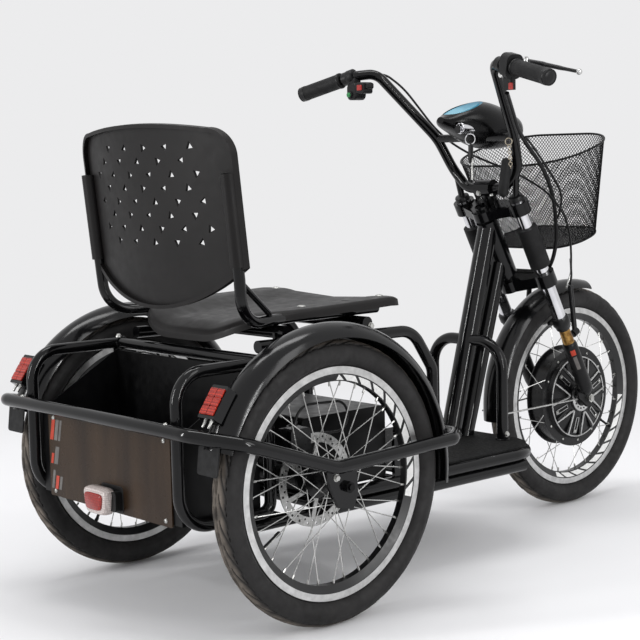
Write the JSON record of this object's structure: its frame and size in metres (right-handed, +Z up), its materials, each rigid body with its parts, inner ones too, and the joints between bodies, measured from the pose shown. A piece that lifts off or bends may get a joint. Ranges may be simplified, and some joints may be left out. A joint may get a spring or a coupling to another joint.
{
  "type": "electric tricycle",
  "caption": "Three-wheeled electric scooter trike: step-through deck, hub-motor front wheel on a steered fork, seat over a cargo bin.",
  "frame": {"origin": "on the ground, below the middle of the vehicle's length and width", "axes": "-Y forward, +X to the rider's left, +Z up"},
  "size_m": [0.747, 1.604, 1.0337],
  "materials": {
    "gloss_black_frame": "gloss black powder coat over steel tube",
    "black_sheet": "satin black painted sheet steel",
    "tinted_panel": "dark brown-tinted gloss sheet",
    "deck_mat": "black gritty mat",
    "tyre_rubber": "black tyre rubber",
    "rim_alloy": "black anodised rim with machined silver brake track",
    "spoke_steel": "bright stainless wire",
    "hub_black": "satin black painted hub",
    "rotor_steel": "brushed stainless disc",
    "axle_steel": "zinc-plated steel",
    "caliper_black": "satin black cast caliper",
    "chrome_tube": "polished chrome stanchion",
    "sleeve_rubber": "matt black rubber sleeve",
    "fender_plastic": "gloss black moulded fender",
    "lamp_red": "clear red lens in a black housing",
    "lamp_clear": "clear and red lens",
    "seat_plastic": "fine-textured black moulded polypropylene",
    "battery_case": "gloss black painted sheet case",
    "grip_rubber": "ribbed black rubber grip",
    "control_plastic": "black moulded control housing",
    "lever_alloy": "painted alloy lever",
    "pod_plastic": "gloss black moulded pod with a blue glass top",
    "lock_chrome": "chromed lock barrel",
    "display_glass": "blue-tinted clear display window",
    "basket_wire": "black coated expanded wire mesh",
    "cable_black": "black cable housing"
  },
  "bodies": {
    "frame": {"front_frame": "gloss_black_frame", "guard_hoop": "gloss_black_frame", "deck_frame": "gloss_black_frame", "lower_rails": "gloss_black_frame", "deck_plate": "deck_mat", "cargo_cage": "gloss_black_frame", "cargo_box": "black_sheet", "rear_panel": "tinted_panel", "tail_light": "lamp_clear", "side_guard": "gloss_black_frame", "guard_brackets": "gloss_black_frame", "axle_plates": "gloss_black_frame", "rear_axle": "axle_steel", "rear_fender_left": "fender_plastic", "rear_fender_right": "fender_plastic", "fender_lamps": "lamp_red", "seat_support": "gloss_black_frame", "seat_frame": "gloss_black_frame", "seat_pan": "seat_plastic", "backrest": "seat_plastic", "battery_box": "battery_case", "brake_calipers": "caliper_black", "brake_hoses": "cable_black"},
    "steering": {"fork_crowns": "gloss_black_frame", "stanchions": "chrome_tube", "fork_sleeves": "sleeve_rubber", "fork_lowers": "caliper_black", "front_axle": "axle_steel", "handlebar": "gloss_black_frame", "stem": "gloss_black_frame", "left_grip": "grip_rubber", "throttle_grip": "grip_rubber", "switch_pod": "control_plastic", "throttle_housing": "control_plastic", "brake_levers": "lever_alloy", "display_pod": "pod_plastic", "display_glass": "display_glass", "ignition_lock": "lock_chrome", "control_cables": "cable_black", "basket": "basket_wire", "basket_bracket": "gloss_black_frame", "front_fender": "fender_plastic", "fender_stays": "spoke_steel", "v_brake": "caliper_black"},
    "front_wheel": {"front_tyre": "tyre_rubber", "front_rim": "rim_alloy", "front_spokes": "spoke_steel", "front_hub_motor": "hub_black"},
    "rear_wheel_left": {"rear_left_tyre": "tyre_rubber", "rear_left_rim": "rim_alloy", "rear_left_spokes": "spoke_steel", "rear_left_hub": "hub_black", "rear_left_rotor": "rotor_steel"},
    "rear_wheel_right": {"rear_right_tyre": "tyre_rubber", "rear_right_rim": "rim_alloy", "rear_right_spokes": "spoke_steel", "rear_right_hub": "hub_black", "rear_right_rotor": "rotor_steel"}
  },
  "joints": [
    {"name": "steering", "type": "hinge", "parent": "frame", "child": "steering", "pos_m": [0, -0.25994, 0.70003], "axis": [0, 0.4695, 0.8829], "range_deg": [-40, 40]},
    {"name": "front_wheel_spin", "type": "hinge", "parent": "steering", "child": "front_wheel", "pos_m": [0, -0.545, 0.257], "axis": [1, 0, 0], "continuous": true},
    {"name": "rear_wheel_left_spin", "type": "hinge", "parent": "frame", "child": "rear_wheel_left", "pos_m": [0.309, 0.491, 0.257], "axis": [1, 0, 0], "continuous": true},
    {"name": "rear_wheel_right_spin", "type": "hinge", "parent": "frame", "child": "rear_wheel_right", "pos_m": [-0.309, 0.491, 0.257], "axis": [1, 0, 0], "continuous": true}
  ]
}
